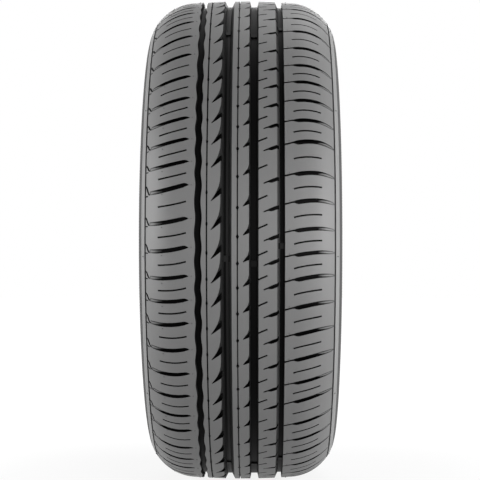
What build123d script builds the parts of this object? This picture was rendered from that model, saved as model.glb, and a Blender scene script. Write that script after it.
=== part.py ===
from build123d import *
import math
import os

# Car tyre of size 235/40 R18, moulded in one piece. Millimetres.
# The wheel's centre is the origin, Y is the spin axis and Z is up.
# The tread faces +X; seen from there, +Y is the right shoulder and -Y the left.

# Section
rim_diameter = 457.2
section_height = 94.0
section_width = 241.0
widest_height = 42.0
protector_width = 238.6
protector_height = 26.0
flange_spacing = 215.9
flange_height = 15.0
heel_bevel = 5.0
bead_width = 20.0
toe_height = 3.0
bead_seat_rise = 2.4
sidewall_thickness = 8.0
liner_height = 39.4
liner_flat_width = 148.0
tread_thickness = 19.1

# Tread crown
tread_width = 222.0
shoulder_drop = 27.1
crown_width = 131.0
crown_radius = 890.0
shoulder_break_inner = 31.0
shoulder_break_outer = 13.0

# Grooves round the tread: place of the middle, width at the top, lean of each wall
groove_depth = 7.5
wavy_groove_place = -48.7
wavy_groove_width = 6.8
wave_swing = 0.72
left_groove_place = -16.4
left_groove_width = 13.0
left_groove_lean = 3.8
middle_groove_place = 15.6
middle_groove_width = 11.2
middle_groove_lean = 1.6
right_groove_place = 47.15
right_groove_width = 9.3
right_groove_inner_lean = 3.5
right_groove_outer_lean = 0.6

# Pitches: three lengths in a set order, with the right half of the mould turned against the left
pitch_order = (
    "LLMMLSMMMMSSMMLSSSSMLLLM"
    "SMMLMSMMLLMSMMLMSMLMMSMLMMSLMMSMMLSM"
)
short_pitch_ratio = 0.847
medium_pitch_ratio = 1.0
long_pitch_ratio = 1.183
front_pitch_count = 14
front_pitch_rise = 25.0
right_half_shift = 55.2

# Shoulder slots
slot_depth = 6.5
slot_runout = 5.0
left_slot_land = 8.1
left_slot_point = 5.8
left_slot_width = 4.3
left_slot_trail = 5.6
right_slot_land = 10.2
right_slot_point = 5.5
right_slot_width = 3.8
right_slot_bow = 2.6

# Fin cuts beside the left and middle grooves, slots beside the right groove
fin_depth = 5.2
fin_bend_reach_ratio = 0.4
fin_bend_rise_ratio = 0.38
left_fin_reach = 10.4
left_fin_rise = 29.0
left_fin_mouth = 20.6
left_fin_place = 20.3
middle_fin_reach = 6.2
middle_fin_rise = 12.5
middle_fin_mouth = 9.3
middle_fin_place = -24.0
rib_slot_depth = 5.0
rib_slot_reach = 14.8
rib_slot_rise = 6.6
rib_slot_mouth = 3.8
rib_slot_place = -14.2

# The ring is laid out in equal flats, within half a millimetre of round
flat_count = 56
bore_stock = 1.0
cut_clearance = 4.0
prism_margin = 15.0

rim_radius = rim_diameter / 2
tread_radius = rim_radius + section_height
seat_radius = rim_radius + bead_seat_rise
half_tread = tread_width / 2
half_crown = crown_width / 2
left_slot_tip = wavy_groove_place - wavy_groove_width / 2 - left_slot_land
right_slot_tip = right_groove_place + right_groove_width / 2 + right_slot_land


def crown_drop(y):
    """How far the tread's surface lies below its middle, at axial place y."""
    reach = min(abs(y), half_crown)
    drop = crown_radius - math.sqrt(crown_radius**2 - reach**2)
    past = abs(y) - reach
    if past == 0:
        return drop
    lean = math.asin(half_crown / crown_radius)
    run = half_tread - half_crown
    fall = shoulder_drop - drop
    turn = math.atan2(fall, run) - lean
    radius = math.hypot(run, fall) / (2 * math.sin(turn))
    rest = math.sin(lean) + past / radius
    return drop + radius * (math.cos(lean) - math.sqrt(1 - rest**2))


def surface(y, depth=0.0):
    """Section point (axial place, radius) on the tread's surface, or depth below it."""
    return (y, tread_radius - crown_drop(y) - depth)


def groove_section(place, width, inner_lean, outer_lean):
    """The four section points of a straight groove, from left to right."""
    left = place - width / 2
    right = place + width / 2
    floor = surface(place, groove_depth)[1]
    return [surface(left), (left + inner_lean, floor), (right - outer_lean, floor), surface(right)]


def side_section(side):
    """Section points of one side, from the shoulder over the sidewall and bead to the liner."""
    tread_edge = surface(half_tread)[1]
    points = [
        surface(half_tread - shoulder_break_inner),
        surface(half_tread - shoulder_break_outer),
        (half_tread, tread_edge),
        (section_width / 2, rim_radius + widest_height),
        (protector_width / 2, rim_radius + protector_height),
        (flange_spacing / 2, rim_radius + flange_height),
        (flange_spacing / 2, seat_radius - bore_stock),
        (flange_spacing / 2 - bead_width, seat_radius - bore_stock),
        (flange_spacing / 2 - bead_width, seat_radius + toe_height),
        (section_width / 2 - sidewall_thickness, rim_radius + liner_height),
        (liner_flat_width / 2, tread_radius - tread_thickness),
    ]
    return [(side * y, radius) for y, radius in points]


def rim_barrel():
    """The rim's barrel with a bevel at each flange, which bores both bead seats and heels round."""
    heel = flange_spacing / 2 - heel_bevel
    end = flange_spacing / 2 + cut_clearance
    flare = seat_radius + heel_bevel + cut_clearance
    with BuildSketch(Plane.YZ) as section:
        with BuildLine():
            Polyline(
                (-end, 0), (-end, flare), (-heel, seat_radius), (heel, seat_radius), (end, flare), (end, 0),
                close=True,
            )
        make_face()
    return revolve(section.sketch, Axis.Y).solid()


def tyre_body():
    """The plain ring: one flat block patterned round the axis, with both bead seats bored round."""
    tread_points = [
        surface(wavy_groove_place),
        *groove_section(left_groove_place, left_groove_width, left_groove_lean, left_groove_lean),
        *groove_section(
            middle_groove_place, middle_groove_width, middle_groove_lean, middle_groove_lean
        ),
        *groove_section(
            right_groove_place, right_groove_width, right_groove_inner_lean, right_groove_outer_lean
        ),
    ]
    with BuildSketch(Plane.YZ) as section:
        with BuildLine():
            Polyline(*tread_points, *side_section(1), *reversed(side_section(-1)), close=True)
        make_face()
    flat_angle = 360 / flat_count
    block = extrude(section.sketch, tread_radius * math.radians(flat_angle), both=True)
    for end in (-1, 1):
        turn = math.radians(end * flat_angle / 2)
        inward = Vector(-end * math.cos(turn), 0, end * math.sin(turn))
        block = split(block, Plane(origin=(0, 0, 0), z_dir=inward), keep=Keep.TOP)
    blocks = [block.rotate(Axis.Y, flat_angle * flat).solid() for flat in range(flat_count)]
    ring = blocks[0].fuse(*blocks[1:])
    return ring.cut(rim_barrel())


def pitch_marks():
    """Each pitch's start round the tread, its length and its size against a medium pitch."""
    sizes = {"S": short_pitch_ratio, "M": medium_pitch_ratio, "L": long_pitch_ratio}
    round_length = 2 * math.pi * tread_radius
    unit = round_length / sum(sizes[kind] for kind in pitch_order)
    start = front_pitch_rise - unit * sum(sizes[kind] for kind in pitch_order[:front_pitch_count])
    marks = []
    for kind in pitch_order:
        marks.append((start, unit * sizes[kind], sizes[kind]))
        start += unit * sizes[kind]
    return marks


def tread_plane(place):
    """Plane on the tread at a distance round it: x is axial, y runs up the front, z is outward."""
    turn = place / tread_radius
    outward = Vector(math.cos(turn), 0, math.sin(turn))
    return Plane(origin=outward * tread_radius, x_dir=(0, 1, 0), z_dir=outward)


def tread_cutter(place, outline, floor_start, floor_end, floor_bank=0.0):
    """Prism of an outline (axial, round), cut off below at a floor through two section points."""
    plane = tread_plane(place)
    start = Vector(floor_start[0], 0, floor_start[1] - tread_radius)
    end = Vector(floor_end[0], 0, floor_end[1] - tread_radius)
    deepest = min(start.Z, end.Z) - prism_margin
    with BuildSketch(plane.offset(deepest)) as sketch:
        with BuildLine():
            Polyline(*outline, close=True)
        make_face()
    prism = extrude(sketch.sketch, cut_clearance - deepest)
    floor_x = end - start if end.X > start.X else start - end
    upward = floor_x.cross(Vector(0, 1, floor_bank))
    origin = plane.from_local_coords(start)
    tip = plane.from_local_coords(start + upward)
    return split(prism, Plane(origin=origin, z_dir=tip - origin), keep=Keep.TOP).solid()


def left_slot(place, size):
    """Pointed slot across the left shoulder, running out before the tread's edge."""
    runout = -(half_tread - slot_runout)
    end = -half_tread
    fall = left_slot_trail / (end - left_slot_tip)
    half_width = left_slot_width / 2
    neck = left_slot_tip - left_slot_point
    neck_place = fall * left_slot_point
    end_place = -left_slot_trail
    outline = [
        (left_slot_tip, 0),
        (neck, neck_place + half_width),
        (end, end_place + half_width),
        (end, end_place - half_width),
        (neck, neck_place - half_width),
    ]
    scaled = [(y, size * rise) for y, rise in outline]
    return tread_cutter(place, scaled, surface(left_slot_tip, slot_depth), surface(runout))


def right_slot(place, size):
    """Bowed slot across the right shoulder, running out before the tread's edge."""
    runout = half_tread - slot_runout
    end = half_tread
    neck = right_slot_tip + right_slot_point
    middle = (neck + end) / 2
    half_width = right_slot_width / 2
    outline = [
        (right_slot_tip, -right_slot_bow),
        (neck, -right_slot_bow - half_width / 2),
        (end, -right_slot_bow),
        (end, -right_slot_bow + half_width),
        (middle, half_width),
    ]
    scaled = [(y, size * rise) for y, rise in outline]
    return tread_cutter(place, scaled, surface(right_slot_tip, slot_depth), surface(runout))


def fin_cut(place, edge, reach, rise, mouth, lean):
    """Curved fin cut into the right edge of a rib, with its floor banked up to the fin's upper end."""
    bank = fin_depth / rise
    slope = (rise - mouth) / reach
    outline = [
        (edge - reach, 0),
        (edge - fin_bend_reach_ratio * reach, fin_bend_rise_ratio * rise),
        (edge, rise),
        (edge + lean, rise),
        (edge + lean, slope * (reach + lean)),
    ]
    return tread_cutter(place, outline, surface(edge - reach, fin_depth), surface(edge, fin_depth), bank)


def rib_slot(place):
    """Slanted slot in the right rib, opening into the right groove."""
    edge = right_groove_place - right_groove_width / 2
    tip = edge - rib_slot_reach
    inside = edge + right_groove_inner_lean
    slope = rib_slot_rise / rib_slot_reach
    mouth_rise = slope * (inside - tip)
    outline = [
        (tip, 0),
        (inside, mouth_rise),
        (inside, mouth_rise - rib_slot_mouth),
        ((tip + edge) / 2, (rib_slot_rise - rib_slot_mouth) / 2),
    ]
    return tread_cutter(place, outline, surface(tip, rib_slot_depth), surface(edge, rib_slot_depth))


def wave_section(place, y):
    """The wavy groove's section in the radial plane at a distance round the tread."""
    turn = place / tread_radius
    outward = Vector(math.cos(turn), 0, math.sin(turn))
    floor = surface(wavy_groove_place, groove_depth)[1]
    top = tread_radius + cut_clearance
    left = Vector(0, y - wavy_groove_width / 2, 0)
    right = Vector(0, y + wavy_groove_width / 2, 0)
    corners = [left + outward * floor, right + outward * floor, right + outward * top, left + outward * top]
    return Face(Wire.make_polygon(corners, close=True))


def wavy_groove(marks):
    """The wavy groove as two half rings, one wave to each pitch."""
    sections = []
    for start, length, _ in marks:
        sections.append(wave_section(start, wavy_groove_place + wave_swing))
        sections.append(wave_section(start + length / 2, wavy_groove_place - wave_swing))
    sections.append(sections[0])
    half = len(marks)
    halves = (sections[: half + 1], sections[half:])
    return [loft(part, ruled=True).solid() for part in halves]


def tread_cutters():
    """Every cut of the tread pattern, pitch by pitch."""
    marks = pitch_marks()
    left_edge = left_groove_place - left_groove_width / 2
    middle_edge = middle_groove_place - middle_groove_width / 2
    cutters = wavy_groove(marks)
    size_below = marks[-1][2]
    for start, length, size in marks:
        right_start = start + right_half_shift
        right_middle = right_start + length / 2
        cutters += [
            left_slot(start, size_below),
            right_slot(right_start, size_below),
            rib_slot(right_start + rib_slot_place),
            fin_cut(
                start + left_fin_place,
                left_edge, left_fin_reach, left_fin_rise, left_fin_mouth, left_groove_lean,
            ),
            fin_cut(
                right_middle + middle_fin_place,
                middle_edge, middle_fin_reach, middle_fin_rise, middle_fin_mouth, middle_groove_lean,
            ),
        ]
        size_below = size
    return cutters


tyre = tyre_body().cut(*tread_cutters())
os.makedirs("parts", exist_ok=True)
export_step(tyre.solid(), "parts/tyre.step")
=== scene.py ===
"""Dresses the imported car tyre: its moulded tread, sidewalls and beads, its rubber and a plain studio.

The tyre is drawn flat, as a strip laid out on a bench: across it, round it and up from it. Every groove,
slot and sipe is cut into that strip, and the strip is then rolled into a wheel. The flat drawing is in
millimetres, and all else in metres.
"""

import math

import bmesh
import bpy
from bpy.props import FloatProperty, FloatVectorProperty, IntProperty, PointerProperty
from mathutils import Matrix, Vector
from mathutils.geometry import delaunay_2d_cdt


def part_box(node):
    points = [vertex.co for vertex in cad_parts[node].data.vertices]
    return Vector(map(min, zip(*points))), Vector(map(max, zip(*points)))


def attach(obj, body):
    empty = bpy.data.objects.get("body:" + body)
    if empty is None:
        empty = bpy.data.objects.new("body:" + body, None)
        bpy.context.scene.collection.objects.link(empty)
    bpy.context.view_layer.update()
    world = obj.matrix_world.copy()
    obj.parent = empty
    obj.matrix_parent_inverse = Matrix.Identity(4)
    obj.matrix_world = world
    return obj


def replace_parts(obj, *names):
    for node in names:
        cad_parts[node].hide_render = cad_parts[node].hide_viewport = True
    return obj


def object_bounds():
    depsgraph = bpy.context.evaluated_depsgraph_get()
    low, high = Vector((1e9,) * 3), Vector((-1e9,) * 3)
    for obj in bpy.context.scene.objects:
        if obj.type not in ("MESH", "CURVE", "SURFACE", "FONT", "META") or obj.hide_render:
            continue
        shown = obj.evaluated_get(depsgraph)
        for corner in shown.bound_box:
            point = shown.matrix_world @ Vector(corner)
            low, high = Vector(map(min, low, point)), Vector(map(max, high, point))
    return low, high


bl_info = {
    "name": "Moulded car tyre",
    "version": (1, 0, 0),
    "blender": (4, 5, 0),
    "location": "View3D > Sidebar > Tyre",
    "description": "Builds a car tyre with its tread pattern on the packed frame, and a plain studio",
    "category": "Object",
}

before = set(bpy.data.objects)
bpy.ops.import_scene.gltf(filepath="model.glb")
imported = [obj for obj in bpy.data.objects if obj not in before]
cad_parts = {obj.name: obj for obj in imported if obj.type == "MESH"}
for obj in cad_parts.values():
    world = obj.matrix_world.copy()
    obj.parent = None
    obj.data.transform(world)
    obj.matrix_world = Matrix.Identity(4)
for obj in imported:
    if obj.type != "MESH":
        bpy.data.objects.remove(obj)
cad_low, cad_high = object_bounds()
tyre_low, tyre_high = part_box("tyre")

MM = 0.001
SLACK = 1e-6
ROLL_GROUP = "Roll into a wheel"
RUBBER = "moulded_rubber"

# The tread's pitches: three lengths in a set order, how many lie below the front one, and where it starts.
# The right half of the mould is turned against the left.
PITCH_ORDER = "LLMMLSMMMMSSMMLSSSSMLLLM" + "SMMLMSMMLLMSMMLMSMLMMSMLMMSLMMSMMLSM"
PITCH_RATIOS = {"S": 0.847, "M": 1.0, "L": 1.183}
FRONT_PITCH_COUNT = 14
FRONT_PITCH_RISE = 25.0
RIGHT_HALF_SHIFT = 55.2

# Places across the tread, from its middle: its edge and the grooves' middles.
STRIP_EDGE = 113.0
WAVY_MIDDLE = -48.7
LEFT_MIDDLE = -16.4
CENTRE_MIDDLE = 15.6
RIGHT_MIDDLE = 47.15

# Half widths of the grooves, and how far their walls lean in on the way down.
WAVY_HALF_WIDTH = 3.85
WAVY_LEAN = 0.7
WAVE_SWING = 0.72
WAVE_PARTS = 2
LEFT_HALF_WIDTH = 6.5
LEFT_LEAN = 3.8
CENTRE_HALF_WIDTH = 5.6
CENTRE_LEAN = 1.6
RIGHT_HALF_WIDTH = 4.65
RIGHT_INNER_LEAN = 3.5
RIGHT_OUTER_LEAN = 0.6

# The fine cuts, and the lines all round with their places across, widths, depths and painted shade.
SIPE_WIDTH = 1.95
LEFT_SHOULDER_LINE = {"middle": -111.2, "width": 1.8, "depth": 1.5, "tone": 0.75}
RIGHT_SHOULDER_LINE = {"middle": 110.85, "width": 1.8, "depth": 1.5, "tone": 0.75}
LEFT_RIB_LINE = {"middle": -38.7, "width": 1.65, "depth": 3.0, "tone": 0.97}
MIDDLE_RIB_LINE = {"middle": -3.2, "width": 1.5, "depth": 2.6, "tone": 0.88}
DOT_DEPTH = 3.6
CHANNEL_WIDTH = 1.45
HOOK_WIDTH = 1.75
HOOK_DEPTH = 1.2
TICK_WIDTH = 1.6
TICK_DEPTH = 1.0

# Fins: how far in from the groove their floor slopes, how much their mouth rises down the groove's wall,
# where the facet's end is drawn, and how far the facet reaches back into the deep cut.
MOUTH_REACH = 3.0
MOUTH_RISE = 1.0
FACET_SHARES = (0.02, 0.3, 0.65)
FACET_OVERLAP = (0.4, 0.3)

# Wear bars: their size, their places as shares of a turn, where each groove's first one starts, and how far
# down the grooves' walls their ends lie.
BAR_HEIGHT = 1.6
BAR_LENGTH = 7.0
BAR_PLACES = (0.0, 0.1612, 0.333, 0.5, 0.667, 0.833)
LEFT_BAR_START = -25.5
CENTRE_BAR_START = -31.5
RIGHT_BAR_START = -10.5
LEFT_BAR_INSET = 1.5
CENTRE_BAR_INSET = 0.8
RIGHT_BAR_INSETS = (1.4, 0.3)

# How dark the cuts are painted, from 0 for the tread's rubber to 1 for the darkest: painted shade that
# stands in for the shade down in the cuts and on the wear bars. The lit walls and floor are painted lighter,
# where a lamp would reach them. A fade is the depth where a cut's painted shade reaches its tone.
WALL_TONE = 0.86
LEFT_LIT_WALL_TONE = 0.8
LEFT_LIT_FLOOR_TONE = 0.9
CENTRE_LIT_WALL_TONE = 0.82
RIGHT_LIT_WALL_TONE = 0.55
BAR_TONE = 0.9
SHADED_BAR_TONE = 0.965
WALL_FADE = 1.4
SLOT_FADE = 1.4
TONGUE_FADE = 3.5

# Nubs of the mould's vents: places (across, rise) in a pitch, rows in the edge bands, shape, and the painted
# shade on them that stands in for the small shadow each nub casts.
LEFT_VENTS = ((-56.5, 0.0), (-91.0, -10.0))
RIGHT_VENT = (56.8, -0.9)
VENT_BANDS = (-114.0, 114.0)
VENTS_IN_BAND = 10
BAND_VENT_START = -21.5
NUB_SIDES = 10
NUB_TIP = 0.35
NUB_FOOT = 0.5
BAND_NUB_PAINTED_SHADE = 0.8
TREAD_NUB_PAINTED_SHADE = 0.25

# The sides: spans beside the tread in the edge bands' rubber, and parts to a ring step in the ribbing.
BAND_SPANS = 2
RIBBING_PARTS = 4

# Joining and shading of the rolled mesh.
WELD_DISTANCE = 0.00002
SHARP_ANGLE = math.radians(28)

# The rubber's grain and gloss, and where the edge bands' painted light starts.
BAND_RAMP = (0.1112, 0.1122)
CLOUD_SCALE = 9.0
GRAIN_SCALE = 700.0
STREAK_SCALE = 900.0
BASE_TONE = 0.91
GRAIN_TONE = 0.06
BUMP_STRENGTH = 0.25
BUMP_HEIGHT = 0.0002
CLOUD_ROUGHNESS = 0.1
SIDEWALL_ROUGHNESS = 0.25
CUT_ROUGHNESS = 0.5
RUBBER_GLOSS = 0.45
CUT_GLOSS = 0.04
CUT_CLOUD = 1.6

# The studio: lamps as name, power setting, place and size, the camera, and a floor that whitens outwards.
LAMPS = (
    ("left_lamp", "left_power", (0.47, -2.23, 0.32), (1.8, 1.3)),
    ("right_lamp", "right_power", (0.78, 2.16, 0.16), (1.6, 1.3)),
    ("front_lamp", "front_power", (2.16, 0.78, 0.16), (0.8, 1.2)),
    ("top_lamp", "top_power", (-1.13, 0.65, 2.25), (1.6, 1.6)),
    ("back_lamp", "back_power", (-2.3, 0.0, 0.6), (1.2, 1.2)),
)
CAMERA_PLACE = (1.981, 0.02145, 0.0)
SENSOR_WIDTH = 36.0
PICTURE_PIXELS = 480.0
FOCAL_PIXELS = 1445.0
SHIFT_PIXELS = -18.8
CLIP_START = 0.05
WHITE = (1, 1, 1, 1)
FLOOR_HALF = 6.0
FLOOR_GLOW = 1.12
FLOOR_NEAR = 0.76
FLOOR_GAIN = 0.19
FLOOR_RAMP = (0.36, 0.8)


def size_setting(name, description, default):
    """A length that a user can set."""
    return FloatProperty(name=name, description=description, default=default, unit="LENGTH")


def grey_setting(name, description, default):
    """A colour that a user can set, grey at first."""
    return FloatVectorProperty(name=name, description=description, default=[default] * 3, subtype="COLOR")


def power_setting(name, description, default):
    """A lamp's power that a user can set."""
    return FloatProperty(name=name, description=description, default=default, min=0.0, unit="POWER")


class TyreSizes(bpy.types.PropertyGroup):
    """Sizes of the tyre that a user would change."""

    tread_radius: size_setting("Tread radius", "From the wheel's centre to the middle rib", tyre_high.x)
    crown_radius: size_setting("Crown radius", "Curve of the tread from side to side", 0.890)
    crown_half_width: size_setting("Crown half width", "Where the crown meets the shoulder's curve", 0.0655)
    shoulder_radius: size_setting("Shoulder radius", "Curve of the tread over each shoulder", 0.063)
    groove_depth: size_setting("Groove depth", "Depth of the grooves that run round the tread", 0.0075)
    slot_depth: size_setting("Slot depth", "Depth of the shoulder slots at their inner ends", 0.0065)
    sipe_depth: size_setting("Sipe depth", "Depth of the thin cuts", 0.004)
    nub_width: size_setting("Nub width", "Width of the nubs that the mould's vents leave", 0.002)
    nub_height: size_setting("Nub height", "Height of a trimmed vent nub", 0.0005)
    ring_steps: IntProperty(name="Ring steps", description="Steps round the wheel", default=240, min=120)


class RubberLook(bpy.types.PropertyGroup):
    """Colours and finish of the rubber, with painted light on the edge bands and painted shade in the cuts.
    """

    tread_colour: grey_setting("Tread", "Rubber of the tread's ribs", 0.14)
    # Painted light: the edge bands are painted paler for the lamps' light and sheen on the shoulders.
    band_painted_light_colour: grey_setting("Edge bands", "Rubber outside the shoulder lines", 0.2)
    sidewall_colour: grey_setting("Sidewalls", "Rubber of the sidewalls, beads and liner", 0.05)
    # Painted shade: a near-black colour that stands in for the shade down in the cuts, not a fresh rubber.
    painted_colour_in_cuts: grey_setting("Cuts", "Fresh rubber down in the cuts", 0.0015)
    roughness: FloatProperty(
        name="Roughness", description="Roughness of the rubber",
        default=0.5, min=0.0, max=1.0, subtype="FACTOR",
    )


class StudioLook(bpy.types.PropertyGroup):
    """Light and floor of the studio."""

    left_power: power_setting("Left lamp", "Power of the lamp on the left", 53.0)
    right_power: power_setting("Right lamp", "Power of the lamp on the right", 56.0)
    front_power: power_setting("Front lamp", "Power of the lamp beside the camera", 25.0)
    top_power: power_setting("Top lamp", "Power of the lamp above and behind", 15.5)
    back_power: power_setting("Back lamp", "Power of the lamp behind the tyre", 40.0)
    ambient: FloatProperty(
        name="Ambient", description="Even light from all round", default=0.02, min=0.0,
    )
    floor_colour: grey_setting("Floor", "Colour of the floor", 0.65)


class Wire:
    """A node's output that takes part in Python arithmetic by adding Math nodes."""

    def __init__(self, graph, socket):
        self.graph = graph
        self.socket = socket

    def maths(self, operation, *others):
        return self.graph.node("ShaderNodeMath", dict(enumerate((self, *others))), operation=operation)

    def __add__(self, other):
        return self.maths("ADD", other)

    __radd__ = __add__

    def __mul__(self, other):
        return self.maths("MULTIPLY", other)

    __rmul__ = __mul__

    def __truediv__(self, other):
        return self.maths("DIVIDE", other)


class Graph:
    """A node tree that is written as Python expressions."""

    def __init__(self, tree):
        self.tree = tree

    def node(self, kind, values=None, out=0, **settings):
        """Adds a node with its sockets and settings, and gives back one output, or a tuple of named ones."""
        made = self.tree.nodes.new(kind)
        for name, value in settings.items():
            setattr(made, name, value)
        for key, value in (values or {}).items():
            if isinstance(value, Wire):
                self.tree.links.new(value.socket, made.inputs[key])
            else:
                made.inputs[key].default_value = value
        if isinstance(out, tuple):
            return tuple(Wire(self, made.outputs[name]) for name in out)
        return Wire(self, made.outputs[out]) if made.outputs else None

    def mix(self, factor, first, second):
        """A colour between two colours."""
        return self.node("ShaderNodeMix", {0: factor, 6: first, 7: second}, out=2, data_type="RGBA")

    def ramp(self, value, low, high):
        """A smooth step from 0 at low to 1 at high."""
        return self.node("ShaderNodeMapRange", {0: value, 1: low, 2: high}, interpolation_type="SMOOTHSTEP")

    def seen_directly(self):
        """1 for what the camera sees, also in a gloss or through glass, and 0 for what lights the tyre."""
        camera, glossy, through = self.node(
            "ShaderNodeLightPath", out=("Is Camera Ray", "Is Glossy Ray", "Is Transmission Ray")
        )
        return camera.maths("MAXIMUM", glossy.maths("MAXIMUM", through))


def crown_height(across):
    """Height of the tread's surface below its middle, as a number under 0."""
    sizes = bpy.context.scene.tyre_sizes
    crown = sizes.crown_radius / MM
    edge = sizes.crown_half_width / MM
    shoulder = sizes.shoulder_radius / MM
    reach = min(abs(across), edge)
    drop = crown - math.sqrt(crown**2 - reach**2)
    past = abs(across) - reach
    if past > 0:
        lean = math.asin(edge / crown)
        rest = math.sin(lean) + past / shoulder
        drop += shoulder * (math.cos(lean) - math.sqrt(1 - rest**2))
    return -drop


def between(value, table):
    """Straight-line reading of a short table of (place, reading) pairs."""
    table = sorted(table)
    if value <= table[0][0]:
        return table[0][1]
    for (low, low_reading), (high, high_reading) in zip(table, table[1:]):
        if value <= high:
            return low_reading + (value - low) / (high - low) * (high_reading - low_reading)
    return table[-1][1]


def turns_left(outline):
    """Whether an outline runs anticlockwise."""
    return sum(x * v - u * y for (x, y), (u, v) in zip(outline, outline[1:] + outline[:1])) > 0


class Cut:
    """One cut in the flat tread: its outline as (across, round) points and its depth at any such point.

    Its tone is the painted shade on its floor, which stands in for the shade down in the cut, reached at
    once or, with a fade, at that depth. A raised cut lifts the floor of the cut it lies in up to its own
    depth.
    """

    def __init__(self, outline, depth, tone=1.0, fade=0.0, raised=False):
        self.outline = outline
        self.depth = depth if callable(depth) else lambda across, around: depth
        self.tone = tone
        self.fade = fade
        self.raised = raised

    def span(self):
        rounds = [around for _, around in self.outline]
        return min(rounds), max(rounds)

    def shade(self, depth):
        return self.tone * min(1.0, depth / self.fade) if self.fade else self.tone

    def moved(self, distance):
        outline = [(across, around + distance) for across, around in self.outline]
        depth = self.depth
        return Cut(
            outline, lambda across, around: depth(across, around - distance),
            self.tone, self.fade, self.raised,
        )


class FlatTyre:
    """The tyre laid out flat: points (across, round, height), faces, and the painted shade of each face's
    corners.
    """

    def __init__(self, length, steps):
        self.length = length
        self.steps = steps
        self.step = length / steps
        self.points = []
        self.faces = []
        self.shades = []
        self.sides = []

    def point(self, across, around, height):
        self.points.append((across, around, height))
        return len(self.points) - 1

    def face(self, corners, shades=None, side=0.0):
        self.faces.append(corners)
        self.shades += shades or [0.0] * len(corners)
        self.sides += [side] * len(corners)

    def clear_seam(self, cuts):
        """The ring line that lies furthest from every cut, where the strip can be joined."""
        spans = [cut.span() for cut in cuts]
        best = (0.0, None)
        for ring in range(self.steps):
            place = ring * self.step
            room = self.length
            for low, high in spans:
                offset = (place - (low + high) / 2 + self.length / 2) % self.length - self.length / 2
                room = min(room, abs(offset) - (high - low) / 2)
            if room > best[0]:
                best = (room, ring)
        if best[1] is None:
            raise RuntimeError("no ring line is clear of every cut, so the strip has no place for its seam")
        return best[1]

    def band(self, seam, low_line, high_line, parts=1):
        """Outline of a band all round the tyre, between two lines that are functions of the place round."""
        places = [(seam + index / parts) * self.step for index in range(self.steps * parts + 1)]
        low = [(low_line(place), place) for place in places]
        high = [(high_line(place), place) for place in places[::-1]]
        return low + high

    def strip(self, low, high, columns, bands, cuts):
        """Triangulates the strip between two straight lines and presses every cut into it."""
        seam = self.clear_seam(cuts)
        rings = [(seam + index) * self.step for index in range(self.steps + 1)]
        placed = bands(seam)
        for cut in cuts:
            turns = math.floor((sum(cut.span()) / 2 - rings[0]) / self.length)
            placed.append(cut.moved(-turns * self.length))
        corners = []
        outlines = []

        def add_outline(outline):
            outlines.append(list(range(len(corners), len(corners) + len(outline))))
            corners.extend(outline if turns_left(outline) else outline[::-1])

        add_outline([(low, ring) for ring in rings] + [(high, ring) for ring in rings[::-1]])
        for cut in placed:
            add_outline(cut.outline)
        corners += self.spare_points(rings[1:-1], columns, placed)
        corners += [(column, ring) for column in columns for ring in (rings[0], rings[-1])]
        inside_only = 1
        tolerance = 1e-4
        flat, _, triangles, _, _, origins = delaunay_2d_cdt(
            [Vector(corner) for corner in corners], [], outlines, inside_only, tolerance, True
        )
        regions = [frozenset(index - 1 for index in origin if index) for origin in origins]
        self.press(flat, triangles, regions, placed)

    def spare_points(self, rings, columns, cuts):
        """Points between the cuts that carry the tread's curve, none close to the edge of a cut."""
        cell = 1.5
        taken = set()
        for cut in cuts:
            for first, second in zip(cut.outline, cut.outline[1:] + cut.outline[:1]):
                count = math.ceil(math.dist(first, second) / (cell / 2)) + 1
                for part in range(count + 1):
                    across = first[0] + part / count * (second[0] - first[0])
                    around = first[1] + part / count * (second[1] - first[1])
                    taken.add((round(across / cell), round(around / cell)))
        points = []
        for column in columns:
            for ring in rings:
                across, around = round(column / cell), round(ring / cell)
                if not any((across + i, around + j) in taken for i in (-1, 0, 1) for j in (-1, 0, 1)):
                    points.append((column, ring))
        return points

    def press(self, flat, triangles, regions, cuts):
        """Sinks the triangles of each cut to its depth and adds the walls between depths."""
        levels = {}
        made = {}

        def parts_of(region):
            plain = [cuts[index] for index in region if not cuts[index].raised]
            raised = [cuts[index] for index in region if cuts[index].raised]
            return plain, raised

        def level(corner, region):
            """The point at a corner on a region's floor, as a key of the corner and its depth."""
            plain, raised = parts_of(region)
            across, around = flat[corner]
            depth = max([0.0] + [cut.depth(across, around) for cut in plain])
            depth = max(0.0, min([depth] + [cut.depth(across, around) for cut in raised]))
            key = (corner, round(depth, 3))
            if key not in made:
                made[key] = self.point(across, around, crown_height(across) - depth)
                levels.setdefault(corner, []).append(key)
            return key

        def climb(corner, region, other):
            """The points at a corner on the way from one region's floor to another's."""
            start, end = level(corner, region), level(corner, other)
            low, high = sorted((start[1], end[1]))
            inside = [key for key in levels[corner] if low < key[1] < high]
            inside.sort(key=lambda key: key[1], reverse=start[1] > end[1])
            return [start, *inside, end] if start != end else [start]

        sides = {}
        for triangle, region in zip(triangles, regions):
            keys = [level(corner, region) for corner in triangle]
            plain, raised = parts_of(region)
            # Painted shade on the floors of the cuts, from each cut's tone and fade.
            shades = [max([0.0] + [cut.shade(key[1]) for cut in raised or plain]) for key in keys]
            self.face([made[key] for key in keys], shades)
            for first, second in zip(triangle, triangle[1:] + triangle[:1]):
                sides[(first, second)] = region
        for (first, second), region in sides.items():
            other = sides.get((second, first))
            if other is None or other == region or first > second:
                continue
            chain = climb(first, region, other) + climb(second, other, region)
            if len(chain) > 2:
                chain = [chain[-1], *chain[:-1]]
                deepest = {}
                for corner, depth in chain:
                    deepest[corner] = max(depth, deepest.get(corner, 0.0))
                # Painted shade on the walls, full once a wall is WALL_FADE deep.
                shades = [min(1.0, deepest[corner] / WALL_FADE) for corner, _ in chain]
                self.face([made[key] for key in chain], shades)

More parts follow.
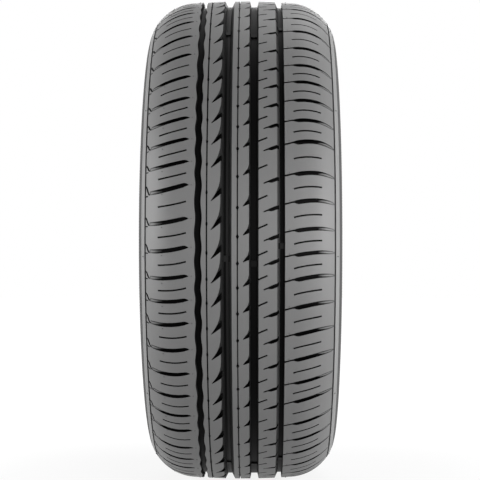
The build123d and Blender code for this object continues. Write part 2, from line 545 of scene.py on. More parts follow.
    def turned(self, section):
        """Carries section points (across, height, parts, notch) all round the tyre.

        A row has so many parts to a ring step, with every other point let in by its notch.
        """
        rows = []
        for across, height, parts, notch in section:
            row = []
            for index in range(self.steps * parts + 1):
                inset = math.copysign(notch, across) if index % 2 else 0.0
                row.append(self.point(across - inset, index * self.step / parts, height))
            rows.append((row, parts))
        spans = list(zip(rows, rows[1:]))
        for span, ((row, parts), (following, next_parts)) in enumerate(spans):
            side = 1.0 if BAND_SPANS <= span < len(spans) - BAND_SPANS else 0.0
            share = parts if parts == next_parts else 1
            for index in range(self.steps * share):
                low = row[index * parts // share:(index + 1) * parts // share + 1]
                high = following[index * next_parts // share:(index + 1) * next_parts // share + 1]
                self.face([low[0], *high, *low[:0:-1]], side=side)


def tread_length():
    """The way once round the tread."""
    return 2 * math.pi * bpy.context.scene.tyre_sizes.tread_radius / MM


def pitch_marks(length):
    """Each pitch's start round the tread, its length, and the size of the pitch below it."""
    ratios = [PITCH_RATIOS[kind] for kind in PITCH_ORDER]
    unit = length / sum(ratios)
    start = FRONT_PITCH_RISE - unit * sum(ratios[:FRONT_PITCH_COUNT])
    marks = []
    for ratio, below in zip(ratios, ratios[-1:] + ratios[:-1]):
        marks.append((start, unit * ratio, below))
        start += unit * ratio
    return marks


def wave_at(marks, length):
    """The wavy groove's swing as a function of the distance round: one wave to each pitch."""
    first = marks[0][0]

    def swing(around):
        place = (around - first) % length + first
        start, pitch = next((start, pitch) for start, pitch, _ in marks[::-1] if start <= place + SLACK)
        return WAVE_SWING * math.cos(2 * math.pi * (place - start) / pitch)

    return swing


def along(points, start, size=1.0):
    """Drawing points set at a distance round the tread, stretched with their pitch."""
    return [(across, start + size * rise) for across, rise in points]


def blade(stations, trim=0.0):
    """Outline of a cut from stations (across, rise of its middle, width), less a trim on each edge."""
    upper = [(across, rise + width / 2 - trim) for across, rise, width in stations]
    lower = [(across, rise - width / 2 + trim) for across, rise, width in stations]
    return upper + lower[::-1]


def ribbon(middle, width):
    """Outline of a thin cut of even width along a middle line."""
    upper = []
    lower = []
    for index, (across, rise) in enumerate(middle):
        before = middle[max(0, index - 1)]
        after = middle[min(len(middle) - 1, index + 1)]
        run = Vector((after[0] - before[0], after[1] - before[1])).normalized() * width / 2
        upper.append((across - run.y, rise + run.x))
        lower.append((across + run.y, rise - run.x))
    return upper + lower[::-1]


def groove_floor(middle):
    """Height of the floor of a groove round the tread."""
    return crown_height(middle) - bpy.context.scene.tyre_sizes.groove_depth / MM


def groove_half(flat, seam, middle, edge, lean, swing=None, parts=1, tone=WALL_TONE, floor_tone=1.0):
    """One half of a groove round the tread: a leaning wall from its edge, and its floor up to the middle,
    with painted shade on both.
    """
    floor = groove_floor(middle)
    inward = math.copysign(1, middle - edge)
    swing = swing or (lambda around: 0.0)

    def half(offset):
        line = edge + inward * offset
        return flat.band(seam, lambda around: line + swing(around), lambda around: middle, parts)

    def floor_depth(across, around):
        return crown_height(across) - floor

    def wall_depth(across, around):
        share = (across - edge - swing(around)) * inward / lean
        return min(1.0, share) * floor_depth(across, around)

    return [
        Cut(half(0.0), wall_depth, tone),
        Cut(half(lean), floor_depth, floor_tone),
    ]


def line_band(flat, seam, middle, width, depth, tone):
    """A thin line all round the tread, with painted shade in it."""
    outline = flat.band(seam, lambda around: middle - width / 2, lambda around: middle + width / 2)
    return Cut(outline, depth, tone)


def rib_dot(across, around, reach, rise, flank):
    """A dot on a rib's line: its middle, how far it reaches and rises, and the corner on each flank."""
    side, step = flank
    outline = [
        (0.0, -rise), (side, -step), (reach, 0.0), (side, step),
        (0.0, rise), (-side, step), (-reach, 0.0), (-side, -step),
    ]
    return Cut([(across + aside, around + up) for aside, up in outline], DOT_DEPTH)


def wear_bars(flat, middle, edge, first, tone=BAR_TONE):
    """Low bars across one half of a groove, six round the tyre, set out with the pitches, with painted shade
    on them.
    """
    top = groove_floor(middle) + BAR_HEIGHT
    bars = []
    for place in BAR_PLACES:
        low = first + place * flat.length
        high = low + BAR_LENGTH
        outline = [(edge, low), (middle, low), (middle, high), (edge, high)]
        bars.append(Cut(outline, lambda across, around: crown_height(across) - top, tone, raised=True))
    return bars


def slot_with_tongue(stations, floor, tongue_from, tongue_floor, start, size):
    """A shoulder slot whose floor rises to a tongue between two narrow channels as it runs out.

    Its rise follows the pitch's size, and its width only the square root of that.
    """
    stations = [(across, rise, width / math.sqrt(size)) for across, rise, width in stations]
    tail = [station for station in stations if abs(station[0]) > abs(tongue_from[0])]
    tongue = [tongue_from, *blade(tail[:-1], CHANNEL_WIDTH)]
    return [
        # Painted shade in the slot and on the tongue, full at the depths of their fades.
        Cut(
            along(blade(stations), start, size), lambda across, around: between(across, floor),
            fade=SLOT_FADE,
        ),
        Cut(
            along(tongue, start, size), lambda across, around: between(across, tongue_floor),
            fade=TONGUE_FADE, raised=True,
        ),
    ]


def left_shoulder(flat, marks, swing):
    """The left shoulder: pointed slots with hooked ends, thin sipes and the shoulder line."""
    sizes = bpy.context.scene.tyre_sizes
    deep = sizes.slot_depth / MM
    thin = sizes.sipe_depth / MM
    slot = [
        (-59.7, -0.2, 0.7), (-62, -0.05, 2.9), (-64, -0.1, 4.2), (-66, -0.55, 4.9), (-70, -1.4, 5.1),
        (-75, -2.45, 5.2), (-80, -3.35, 5.3), (-85, -4.1, 5.2), (-90, -4.75, 5.2),
        (-95, -5.2, 5.2), (-100, -5.4, 5), (-104.6, -5.45, 4.9), (-105.4, -5.45, 4.4),
    ]
    floor = [(-106, 0.5), (-101, 0.9), (-96, 2.2), (-90, 4.5), (-82, deep), (-60, deep)]
    tongue_start = (-89.5, -4.7)
    tongue_floor = [(-106, 0.15), (-101, 0.3), (-98.5, 0.9), (-95.5, 2), (-92, 4), (-89, deep)]
    hook = [(-105.5, -7.1), (-106.6, -6.5), (-107.6, -4.4), (-108.6, -0.9), (-109.5, 1.6), (-110.9, 3.4)]
    tick = [(-107.8, -8.4), (-109.2, -8.1), (-110.9, -8)]
    sipe = [
        (-62.4, 0.15), (-66, -0.85), (-70, -1.8), (-75, -2.8), (-80, -3.6), (-85, -4.2),
        (-90, -4.75), (-95.6, -5.2),
    ]
    cuts = []
    for start, length, below in marks:
        cuts += slot_with_tongue(slot, floor, tongue_start, tongue_floor, start, below)
        cuts += [
            Cut(along(ribbon(hook, HOOK_WIDTH), start, below), HOOK_DEPTH),
            Cut(along(ribbon(tick, TICK_WIDTH), start, below), TICK_DEPTH),
            Cut(along(ribbon(sipe, SIPE_WIDTH), start + length / 2), thin),
        ]
    columns = [*range(-108, -75, 4), -71, -65.5, -60, -56]

    def bands(seam):
        edge = WAVY_MIDDLE - WAVY_HALF_WIDTH
        return [
            line_band(flat, seam, **LEFT_SHOULDER_LINE),
            *groove_half(flat, seam, WAVY_MIDDLE, edge, WAVY_LEAN, swing, WAVE_PARTS),
        ]

    flat.strip(-STRIP_EDGE, WAVY_MIDDLE, columns, bands, cuts)


def fin(outline, curve, edge, depth, mouth_depth, slope, wall_fall, tip):
    """A fin cut in from a groove's edge: a deep point, and a facet that falls from a curve to the edge."""
    rises = [(rise, across) for across, rise in curve]
    floor = [(edge - MOUTH_REACH, depth), (edge, mouth_depth)]
    deep_end = edge + mouth_depth / wall_fall
    above = [across for across, rise in outline].index(edge)

    def facet_depth(across, rise):
        return slope * max(0.0, min(across, edge) - between(rise, rises))

    def facet_end(rise):
        return edge + facet_depth(edge, rise) / wall_fall, rise

    low, high = outline[above][1], outline[above + 1][1]
    mouth = [(deep_end, low + MOUTH_RISE), (deep_end, high + MOUTH_RISE)]
    deep = outline[:above + 1] + mouth + outline[above + 1:]
    inner = (edge - FACET_OVERLAP[0], high - FACET_OVERLAP[1])
    ends = [facet_end(high + share * (curve[-1][1] - high)) for share in FACET_SHARES]
    facet = [inner, *ends, *curve[::-1]]
    return [
        # Painted shade: the deep cut fully dark, the facet at the walls' painted shade.
        Cut(along(deep, tip), lambda across, around: between(across, floor)),
        Cut(along(facet, tip), lambda across, around: facet_depth(across, around - tip), WALL_TONE),
    ]


def left_rib(flat, marks, swing):
    """The left rib: a line with its dots, and long fins cut in from the left groove."""
    wavy_edge = WAVY_MIDDLE + WAVY_HALF_WIDTH
    edge = LEFT_MIDDLE - LEFT_HALF_WIDTH
    fall = (crown_height(edge) - groove_floor(LEFT_MIDDLE)) / LEFT_LEAN
    outline = [
        (-33.7, -0.5), (-29, 2.8), (-25, 6), (edge, 7.8),
        (edge, 15.4), (-24, 14.3), (-26, 12.4), (-28.3, 9.1), (-30.3, 5.6), (-32.4, 2.5), (-33.9, 0.4),
    ]
    curve = [(-28.3, 9.1), (-26.2, 13.6), (-24.6, 18.4), (-23.5, 23.4), (edge - 0.05, 30.4)]
    tip_rise = 20.3
    dot_rise = 10.45
    cuts = []
    for start, length, _ in marks:
        cuts += fin(
            outline, curve, edge, depth=6.0, mouth_depth=3.0, slope=1.5, wall_fall=fall, tip=start + tip_rise
        )
        middle = start + length / 2 + dot_rise
        cuts.append(rib_dot(LEFT_RIB_LINE["middle"], middle, reach=1.35, rise=3.4, flank=(1.0, 2.0)))
    cuts += wear_bars(flat, LEFT_MIDDLE, edge + LEFT_BAR_INSET, LEFT_BAR_START)
    columns = [-41.5, -36, -31, -26]

    def bands(seam):
        return [
            line_band(flat, seam, **LEFT_RIB_LINE),
            *groove_half(flat, seam, WAVY_MIDDLE, wavy_edge, WAVY_LEAN, swing, WAVE_PARTS),
            *groove_half(flat, seam, LEFT_MIDDLE, edge, LEFT_LEAN),
        ]

    flat.strip(WAVY_MIDDLE, LEFT_MIDDLE, columns, bands, cuts)


def middle_rib(flat, marks):
    """The middle rib: a line with its dots, and short fins cut in from the middle groove."""
    left_edge = LEFT_MIDDLE + LEFT_HALF_WIDTH
    edge = CENTRE_MIDDLE - CENTRE_HALF_WIDTH
    fall = (crown_height(edge) - groove_floor(CENTRE_MIDDLE)) / CENTRE_LEAN
    outline = [
        (3.2, -0.8), (6, 0.3), (8, 1.1), (edge, 1.8),
        (edge, 7.2), (9, 7), (7.8, 6.2), (6.2, 4.3), (4.7, 2.15), (3.2, 0.3),
    ]
    curve = [(7.8, 6.2), (8.6, 8), (9.2, 9.9), (edge - 0.02, 12.8)]
    tip_drop = 24.0
    dot_drop = 2.1
    cuts = []
    for start, length, _ in marks:
        tip = start + RIGHT_HALF_SHIFT + length / 2 - tip_drop
        cuts += fin(outline, curve, edge, depth=5.6, mouth_depth=5.0, slope=2.0, wall_fall=fall, tip=tip)
        middle = tip - dot_drop
        cuts.append(rib_dot(MIDDLE_RIB_LINE["middle"], middle, reach=1.9, rise=3.6, flank=(1.1, 1.7)))
    cuts += wear_bars(flat, LEFT_MIDDLE, left_edge - LEFT_BAR_INSET, LEFT_BAR_START)
    cuts += wear_bars(flat, CENTRE_MIDDLE, edge + CENTRE_BAR_INSET, CENTRE_BAR_START, SHADED_BAR_TONE)
    columns = [-6.5, 0, 4, 7]

    def bands(seam):
        return [
            line_band(flat, seam, **MIDDLE_RIB_LINE),
            # Painted light: the left groove's right wall and floor, and the middle groove's left wall, are
            # painted less dark, where a lamp would reach them.
            *groove_half(
                flat, seam, LEFT_MIDDLE, left_edge, LEFT_LEAN,
                tone=LEFT_LIT_WALL_TONE, floor_tone=LEFT_LIT_FLOOR_TONE,
            ),
            *groove_half(flat, seam, CENTRE_MIDDLE, edge, CENTRE_LEAN, tone=CENTRE_LIT_WALL_TONE),
        ]

    flat.strip(LEFT_MIDDLE, CENTRE_MIDDLE, columns, bands, cuts)


def right_rib(flat, marks):
    """The right rib: thin sipes from the middle groove and widening slots from the right groove."""
    thin = bpy.context.scene.tyre_sizes.sipe_depth / MM
    left_edge = CENTRE_MIDDLE + CENTRE_HALF_WIDTH
    edge = RIGHT_MIDDLE - RIGHT_HALF_WIDTH
    depth = 5.4
    fall = (crown_height(edge) - groove_floor(RIGHT_MIDDLE)) / RIGHT_INNER_LEAN
    slot = [
        (26.9, -0.05, 1.2), (28.5, 0.6, 1.8), (32.3, 2.1, 2), (34, 2.45, 3.1), (36, 2.8, 4.3),
        (38, 3.5, 4.7), (edge, 5.2, 4.6), (edge + depth / fall, 6.2, 4.6),
    ]
    sipe = [(left_edge - 0.8, 0.2), (24.5, 2.15), (28, 3.65), (31.5, 5.25)]
    slot_drop = 14.2
    sipe_drop = 17.0
    cuts = []
    for start, length, _ in marks:
        right = start + RIGHT_HALF_SHIFT
        cuts += [
            Cut(along(blade(slot), right - slot_drop), depth),
            Cut(along(ribbon(sipe, SIPE_WIDTH), right + length / 2 - sipe_drop), thin),
        ]
    cuts += wear_bars(flat, CENTRE_MIDDLE, left_edge - CENTRE_BAR_INSET, CENTRE_BAR_START, SHADED_BAR_TONE)
    cuts += wear_bars(flat, RIGHT_MIDDLE, edge + RIGHT_BAR_INSETS[0], RIGHT_BAR_START)
    columns = [24.5, 29, 34, 39]

    def bands(seam):
        return [
            *groove_half(flat, seam, CENTRE_MIDDLE, left_edge, CENTRE_LEAN),
            # Painted light: the right groove's left wall is painted less dark, where the right lamp would
            # reach it.
            *groove_half(flat, seam, RIGHT_MIDDLE, edge, RIGHT_INNER_LEAN, tone=RIGHT_LIT_WALL_TONE),
        ]

    flat.strip(CENTRE_MIDDLE, RIGHT_MIDDLE, columns, bands, cuts)


def right_shoulder(flat, marks):
    """The right shoulder: bowed slots that start as a thin cut, thin sipes and the shoulder line."""
    sizes = bpy.context.scene.tyre_sizes
    deep = sizes.slot_depth / MM
    thin = sizes.sipe_depth / MM
    edge = RIGHT_MIDDLE + RIGHT_HALF_WIDTH
    slot = [
        (edge - 0.3, -5, 2.1), (55, -4.2, 2.1), (60, -2.8, 1.95), (62.5, -2.4, 2.3), (65, -2.4, 4.2),
        (67.5, -2.35, 5.2), (70, -1.9, 5.5), (75, -1.05, 5.4), (80, -0.35, 5.3), (85, 0.15, 5.2),
        (90, 0.5, 5.2), (95, 0.55, 5), (100, 0.15, 4.8), (105, -0.5, 4.4), (108, -1.05, 3.6),
        (109.3, -1.35, 2.4), (109.9, -1.5, 1.2),
    ]
    floor = [(50, thin), (62, thin), (66, deep), (80, deep), (88, 4.5), (95, 2.2), (101, 0.9), (110, 0.6)]
    tongue_start = (87.5, 0.35)
    tongue_floor = [(86.5, deep), (89.5, 4), (92.5, 2), (96, 0.9), (100.5, 0.3), (108, 0.15)]
    sipe = [
        (62, -3.35), (66, -2.15), (70, -1.3), (75, -0.45), (80, 0.15), (85, 0.55),
        (90, 0.8), (94.9, 0.85),
    ]
    sipe_drop = 0.5
    cuts = []
    for start, length, below in marks:
        right = start + RIGHT_HALF_SHIFT
        cuts += slot_with_tongue(slot, floor, tongue_start, tongue_floor, right, below)
        cuts.append(Cut(along(ribbon(sipe, SIPE_WIDTH), right + length / 2 - sipe_drop), thin))
    cuts += wear_bars(flat, RIGHT_MIDDLE, edge - RIGHT_BAR_INSETS[1], RIGHT_BAR_START)
    columns = [54.5, 58, 62, 67, 72, *range(76, 109, 4)]

    def bands(seam):
        return [
            line_band(flat, seam, **RIGHT_SHOULDER_LINE),
            *groove_half(flat, seam, RIGHT_MIDDLE, edge, RIGHT_OUTER_LEAN),
        ]

    flat.strip(RIGHT_MIDDLE, STRIP_EDGE, columns, bands, cuts)


def side_section(tread_radius):
    """Section of one side as (across, height, parts, notch): shoulder, ribbed sidewall, bead and liner."""
    plain = [
        (115.2, 289), (116.4, 286.7), (116.3, 285.6), (117, 284.4), (118, 283), (118.9, 280.4),
        (119.6, 277.4), (119.8, 276.2),
    ]
    notch = 0.5
    ribbed = [
        (120.1, 275.6, 0), (120.3, 274.6, notch), (120.5, 268.6, notch), (120.4, 264.4, notch),
        (120.1, 263.4, 0),
    ]
    lower = [
        (119.6, 262.8), (119.5, 261.4), (119.8, 260.4), (119.9, 256.6), (119.4, 254.4), (117.8, 252),
        (115.2, 249.8), (112.4, 247.7), (110.2, 245.5), (108.7, 243.2), (108.05, 240.6), (107.95, 238.4),
    ]
    bead = [
        (107.5, 235.7), (106.4, 233.6), (104.9, 232), (102.95, 231.05), (95, 231.05), (89.6, 231.05),
        (88.4, 231.4), (88, 232.3), (88.1, 233.6),
    ]
    liner = [
        (89, 235.8), (92, 240), (98, 248), (104.5, 257), (109.3, 264.6), (111.7, 270),
        (112, 274.5), (110.6, 280), (107, 285.4), (101.5, 290.4), (94, 295.2), (84, 299.2),
        (74, 301.8), (60, 303.2), (40, 303.5), (20, 303.5), (0, 303.5),
    ]
    radius = tread_radius / MM
    section = [(STRIP_EDGE, crown_height(STRIP_EDGE), 1, 0.0)]
    section += [(across, place - radius, 1, 0.0) for across, place in plain]
    section += [(across, place - radius, RIBBING_PARTS, inset) for across, place, inset in ribbed]
    section += [(across, place - radius, 1, 0.0) for across, place in lower + bead + liner]
    return section


def vent_places(marks, length):
    """Places (across, round) of the nubs left by the mould's vents, on the tread and in the edge bands."""
    places = []
    for start, _, _ in marks:
        places += along(LEFT_VENTS, start)
        places += along([RIGHT_VENT], start + RIGHT_HALF_SHIFT)
    for across in VENT_BANDS:
        for index in range(VENTS_IN_BAND):
            places.append((across, BAND_VENT_START + index * length / VENTS_IN_BAND))
    return places


def crown_lean(across):
    """Angle by which the tread's surface leans outwards."""
    reach = 0.1
    return math.atan2(crown_height(across - reach) - crown_height(across + reach), 2 * reach)


def geometry_tree(name, *inputs):
    """A node tree with geometry in and out and named numbers in, and the wires of all that comes in."""
    tree = bpy.data.node_groups.new(name, "GeometryNodeTree")
    tree.interface.new_socket("Geometry", in_out="INPUT", socket_type="NodeSocketGeometry")
    for title in inputs:
        tree.interface.new_socket(title, in_out="INPUT", socket_type="NodeSocketFloat")
    tree.interface.new_socket("Geometry", in_out="OUTPUT", socket_type="NodeSocketGeometry")
    graph = Graph(tree)
    return graph, *graph.node("NodeGroupInput", out=("Geometry", *inputs))


def roll_group():
    """Node group that rolls flat geometry into a wheel about the Y axis."""
    graph, shape, radius = geometry_tree(ROLL_GROUP, "Rolling radius")
    place = graph.node("GeometryNodeInputPosition")
    across, around, height = graph.node("ShaderNodeSeparateXYZ", {0: place}, out=("X", "Y", "Z"))
    angle = around / radius
    reach = radius + height
    rolled = graph.node("ShaderNodeCombineXYZ", {
        "X": reach * angle.maths("COSINE"),
        "Y": across,
        "Z": reach * angle.maths("SINE"),
    })
    moved = graph.node("GeometryNodeSetPosition", {"Geometry": shape, "Position": rolled})
    graph.node("NodeGroupOutput", {0: moved})
    return graph.tree


def tyre_tree(roll, rubber):
    """Node tree that rolls the flat tyre up, welds its seams and gives it its rubber."""
    graph, shape, radius, weld = geometry_tree("Tyre from a flat strip", "Rolling radius", "Weld distance")
    rolled = graph.node("GeometryNodeGroup", {0: shape, 1: radius}, node_tree=roll)
    welded = graph.node("GeometryNodeMergeByDistance", {"Geometry": rolled, "Distance": weld})
    smooth = graph.node("GeometryNodeSetShadeSmooth", {"Geometry": welded})
    real = graph.node("GeometryNodeRealizeInstances", {"Geometry": smooth})
    coated = graph.node("GeometryNodeSetMaterial", {"Geometry": real, "Material": rubber})
    graph.node("NodeGroupOutput", {0: coated})
    return graph.tree


def nub_tree(roll, rubber):
    """Node tree that stands a trimmed nub on every flat point, square to the tread, and rolls them up."""
    graph, points, radius, width, height = geometry_tree(
        "Vent nubs", "Rolling radius", "Nub width", "Nub height"
    )
    lean = graph.node("GeometryNodeInputNamedAttribute", {"Name": "lean"}, data_type="FLOAT")
    turn = graph.node("FunctionNodeEulerToRotation", {
        0: graph.node("ShaderNodeCombineXYZ", {"Y": lean}),
    })
    nub = graph.node("GeometryNodeMeshCone", {
        "Vertices": NUB_SIDES, "Radius Top": NUB_TIP * width, "Radius Bottom": NUB_FOOT * width,
        "Depth": 2 * height,
    })
    sunk = graph.node("GeometryNodeTransform", {
        "Geometry": nub, "Translation": graph.node("ShaderNodeCombineXYZ", {"Z": -1 * height}),
    })
    stood = graph.node("GeometryNodeInstanceOnPoints", {
        "Points": points, "Instance": sunk, "Rotation": turn,
    })
    real = graph.node("GeometryNodeRealizeInstances", {"Geometry": stood})
    rolled = graph.node("GeometryNodeGroup", {0: real, 1: radius}, node_tree=roll)
    coated = graph.node("GeometryNodeSetMaterial", {"Geometry": rolled, "Material": rubber})
    graph.node("NodeGroupOutput", {0: coated})
    return graph.tree


def run_tree(thing, tree, settings):
    """Runs a node tree on an object and keeps the result as its plain mesh."""
    modifier = thing.modifiers.new("Build", "NODES")
    modifier.node_group = tree
    for item in tree.interface.items_tree:
        if item.item_type == "SOCKET" and item.in_out == "INPUT" and item.name in settings:
            modifier[item.identifier] = settings[item.name]
    graph = bpy.context.evaluated_depsgraph_get()
    made = bpy.data.meshes.new_from_object(
        thing.evaluated_get(graph), preserve_all_data_layers=True, depsgraph=graph
    )
    thing.modifiers.clear()
    thing.data = made
    made.name = thing.name
    return made


def new_object(name, data):
    """An object in the scene that shows the data."""
    thing = bpy.data.objects.new(name, data)
    bpy.context.scene.collection.objects.link(thing)
    return thing


def flat_object(name, points, faces, domain, **readings):
    """An object of flat drawing points, in metres, with named readings on its points or corners."""
    mesh = bpy.data.meshes.new(name)
    mesh.from_pydata([[MM * value for value in point] for point in points], [], faces)
    for title, values in readings.items():
        mesh.attributes.new(title, "FLOAT", domain).data.foreach_set("value", values)
    return new_object(name, mesh)


def open_edges(mesh):
    """How many edges of a mesh don't join exactly two faces."""
    work = bmesh.new()
    work.from_mesh(mesh)
    count = sum(1 for edge in work.edges if not edge.is_manifold)
    work.free()
    return count


def new_material(name):
    """A material with no nodes yet, and the tree to write them in."""
    material = bpy.data.materials.new(name)
    material.use_nodes = True
    material.node_tree.nodes.clear()
    return material, Graph(material.node_tree)


def rubber_material():
    """Moulded rubber: grey ribs, edge bands with painted light, dark sidewalls and painted near-black shade
    in the cuts, with a fine grain.
    """
    look = bpy.context.scene.rubber_look
    material, graph = new_material(RUBBER)
    place = graph.node("ShaderNodeTexCoord", out="Object")
    across, = graph.node("ShaderNodeSeparateXYZ", {0: place}, out=("Y",))
    # Painted shade in the cuts and on the vent nubs, read from the tyre's corners and the nubs' points.
    shade = graph.node("ShaderNodeAttribute", out="Fac", attribute_name="cut_shade")
    side = graph.node("ShaderNodeAttribute", out="Fac", attribute_name="sidewall")
    line = graph.node("ShaderNodeCombineXYZ", {"X": across})

    def noise(coordinates, scale, detail):
        return graph.node("ShaderNodeTexNoise", {
            "Vector": coordinates, "Scale": scale, "Detail": detail,
        })

    cloud = noise(place, CLOUD_SCALE, detail=3.0)
    grain = noise(place, GRAIN_SCALE, detail=2.0)
    streak = noise(line, STREAK_SCALE, detail=2.0)
    # Painted light: the edge bands beyond the shoulder lines are painted paler for the lamps' light and
    # sheen there.
    band = graph.ramp(across.maths("ABSOLUTE"), *BAND_RAMP)
    rubber = graph.mix(band, (*look.tread_colour, 1), (*look.band_painted_light_colour, 1))
    rubber = graph.mix(side, rubber, (*look.sidewall_colour, 1))
    tone = BASE_TONE + GRAIN_TONE * cloud + GRAIN_TONE * grain + GRAIN_TONE * streak
    toned = graph.node("ShaderNodeVectorMath", {0: rubber, "Scale": tone}, operation="SCALE")
    bump = graph.node("ShaderNodeBump", {
        "Strength": BUMP_STRENGTH, "Distance": BUMP_HEIGHT, "Height": grain + streak,
    })
    lowest = look.roughness - CLOUD_ROUGHNESS / 2
    surface = graph.node("ShaderNodeBsdfPrincipled", {
        "Base Color": toned, "Normal": bump, "Specular IOR Level": RUBBER_GLOSS,
        "Roughness": lowest + CLOUD_ROUGHNESS * cloud + SIDEWALL_ROUGHNESS * side,
    })
    # A painted-shade copy of the rubber, near black and with little gloss, for the shade down in the cuts.
    cloudy_shade_colour = [CUT_CLOUD * part for part in look.painted_colour_in_cuts]
    dark = graph.node("ShaderNodeBsdfPrincipled", {
        "Base Color": graph.mix(cloud, (*look.painted_colour_in_cuts, 1), (*cloudy_shade_colour, 1)),
        "Roughness": CUT_ROUGHNESS, "Normal": bump, "Specular IOR Level": CUT_GLOSS,
    })
    # The painted shade mixes the rubber towards its near-black copy.
    graph.node("ShaderNodeOutputMaterial", {
        "Surface": graph.node("ShaderNodeMixShader", {0: shade, 1: surface, 2: dark}),
    })
    return material


class MakeTyre(bpy.types.Operator):
    """Draws the tyre flat with its whole tread pattern, rolls it up and stands it in for the CAD solid"""

    bl_idname = "tyre.make_body"
    bl_label = "Tyre"

    def execute(self, context):
        sizes = context.scene.tyre_sizes
        length = tread_length()
        flat = FlatTyre(length, sizes.ring_steps)
        marks = pitch_marks(length)
        swing = wave_at(marks, length)
        left_shoulder(flat, marks, swing)
        left_rib(flat, marks, swing)
        middle_rib(flat, marks)
        right_rib(flat, marks)
        right_shoulder(flat, marks)
        right_side = side_section(sizes.tread_radius)
        left_side = [(-across, *rest) for across, *rest in right_side]
        flat.turned(right_side + left_side[-2::-1])
        tyre = flat_object(
            "tyre_body", flat.points, flat.faces, "CORNER", cut_shade=flat.shades, sidewall=flat.sides
        )
        tree = tyre_tree(roll_group(), rubber_material())
        settings = {"Rolling radius": sizes.tread_radius, "Weld distance": WELD_DISTANCE}
        mesh = run_tree(tyre, tree, settings)
        stray = open_edges(mesh)
        if stray:
            raise RuntimeError(f"the tyre has {stray} open edges")
        mesh.set_sharp_from_angle(angle=SHARP_ANGLE)
        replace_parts(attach(tyre, "root"), "tyre")
        return {"FINISHED"}


class MakeVents(bpy.types.Operator):
    """Stands a trimmed nub wherever the mould's vents left one on the rubber"""

    bl_idname = "tyre.make_vents"
    bl_label = "Vent nubs"

    def execute(self, context):
        sizes = context.scene.tyre_sizes
        length = tread_length()
        places = vent_places(pitch_marks(length), length)
        points = [(across, around, crown_height(across)) for across, around in places]
        leans = [crown_lean(across) for across, _ in places]
        # Painted shade on the nubs, standing in for the small shadow each one casts.
        shades = [BAND_NUB_PAINTED_SHADE if across in VENT_BANDS else TREAD_NUB_PAINTED_SHADE for across, _ in places]
        nubs = flat_object("vent_nubs", points, [], "POINT", lean=leans, cut_shade=shades)
        settings = {
            "Rolling radius": sizes.tread_radius,
            "Nub width": sizes.nub_width,
            "Nub height": sizes.nub_height,
        }
        tree = nub_tree(bpy.data.node_groups[ROLL_GROUP], bpy.data.materials[RUBBER])
        run_tree(nubs, tree, settings)
        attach(nubs, "root")
        return {"FINISHED"}


def lamp(name, place, size, power):
    """A soft rectangular lamp that faces the tyre's centre."""
    light = bpy.data.lights.new(name, "AREA")
    light.shape = "RECTANGLE"
    light.size, light.size_y = size
    light.energy = power
    thing = new_object(name, light)
    thing.location = place
    thing.rotation_euler = (-thing.location).to_track_quat("-Z", "Y").to_euler()


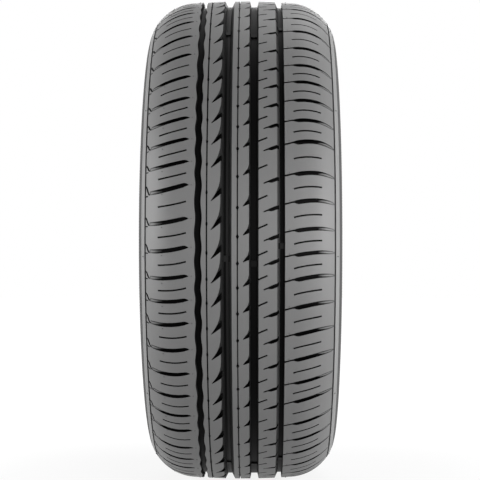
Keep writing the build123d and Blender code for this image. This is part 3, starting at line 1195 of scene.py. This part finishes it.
class MakeStage(bpy.types.Operator):
    """Lays a pale floor under the tyre, hangs the lamps and sets the camera level with the wheel's centre"""

    bl_idname = "tyre.make_stage"
    bl_label = "Studio"

    def execute(self, context):
        scene = context.scene
        look = scene.studio_look
        scene.view_settings.view_transform = "Standard"
        self.floor(look)
        self.backdrop(scene, look)
        for name, power, place, size in LAMPS:
            lamp(name, place, size, getattr(look, power))
        camera = bpy.data.cameras.new("camera")
        camera.sensor_width = SENSOR_WIDTH
        camera.lens = SENSOR_WIDTH * FOCAL_PIXELS / PICTURE_PIXELS
        camera.shift_x = SHIFT_PIXELS / PICTURE_PIXELS
        camera.clip_start = CLIP_START
        scene.camera = new_object("camera", camera)
        scene.camera.location = CAMERA_PLACE
        scene.camera.rotation_euler = (math.radians(90), 0.0, math.radians(90))
        return {"FINISHED"}

    def floor(self, look):
        mesh = bpy.data.meshes.new("floor")
        sides = [(-1, -1), (1, -1), (1, 1), (-1, 1)]
        corners = [(FLOOR_HALF * ahead, FLOOR_HALF * aside, cad_low.z) for ahead, aside in sides]
        mesh.from_pydata(corners, [], [[0, 1, 2, 3]])
        thing = new_object("floor", mesh)
        material, graph = new_material("pale_floor")
        place = graph.node("ShaderNodeTexCoord", out="Object")
        distance = graph.node("ShaderNodeVectorMath", {0: place}, out="Value", operation="LENGTH")
        glow = FLOOR_NEAR + FLOOR_GAIN * graph.ramp(distance, *FLOOR_RAMP)
        matt = graph.node("ShaderNodeBsdfDiffuse", {"Color": (*look.floor_colour, 1)})
        white = graph.node("ShaderNodeEmission", {"Color": WHITE, "Strength": FLOOR_GLOW})
        graph.node("ShaderNodeOutputMaterial", {
            "Surface": graph.node("ShaderNodeMixShader", {
                0: graph.seen_directly() * glow, 1: matt, 2: white,
            }),
        })
        mesh.materials.append(material)

    def backdrop(self, scene, look):
        world = bpy.data.worlds.new("studio")
        scene.world = world
        world.use_nodes = True
        graph = Graph(world.node_tree)
        strength = look.ambient + (1.0 - look.ambient) * graph.seen_directly()
        background = world.node_tree.nodes["Background"]
        background.inputs["Color"].default_value = WHITE
        world.node_tree.links.new(strength.socket, background.inputs["Strength"])


class TyrePanel(bpy.types.Panel):
    """Sizes, looks and steps of the tyre"""

    bl_idname = "VIEW3D_PT_tyre"
    bl_label = "Tyre"
    bl_space_type = "VIEW_3D"
    bl_region_type = "UI"
    bl_category = "Tyre"

    def draw(self, context):
        for group in (context.scene.tyre_sizes, context.scene.rubber_look, context.scene.studio_look):
            column = self.layout.column()
            for name in group.__annotations__:
                column.prop(group, name)
        for operator in (MakeTyre, MakeVents, MakeStage):
            self.layout.operator(operator.bl_idname)


CLASSES = (TyreSizes, RubberLook, StudioLook, MakeTyre, MakeVents, MakeStage, TyrePanel)


def register():
    for kind in CLASSES:
        bpy.utils.register_class(kind)
    bpy.types.Scene.tyre_sizes = PointerProperty(type=TyreSizes)
    bpy.types.Scene.rubber_look = PointerProperty(type=RubberLook)
    bpy.types.Scene.studio_look = PointerProperty(type=StudioLook)


def unregister():
    for name in ("tyre_sizes", "rubber_look", "studio_look"):
        delattr(bpy.types.Scene, name)
    for kind in reversed(CLASSES):
        bpy.utils.unregister_class(kind)


def main():
    register()
    bpy.ops.tyre.make_body()
    bpy.ops.tyre.make_vents()
    bpy.ops.tyre.make_stage()


if __name__ == "__main__":
    main()
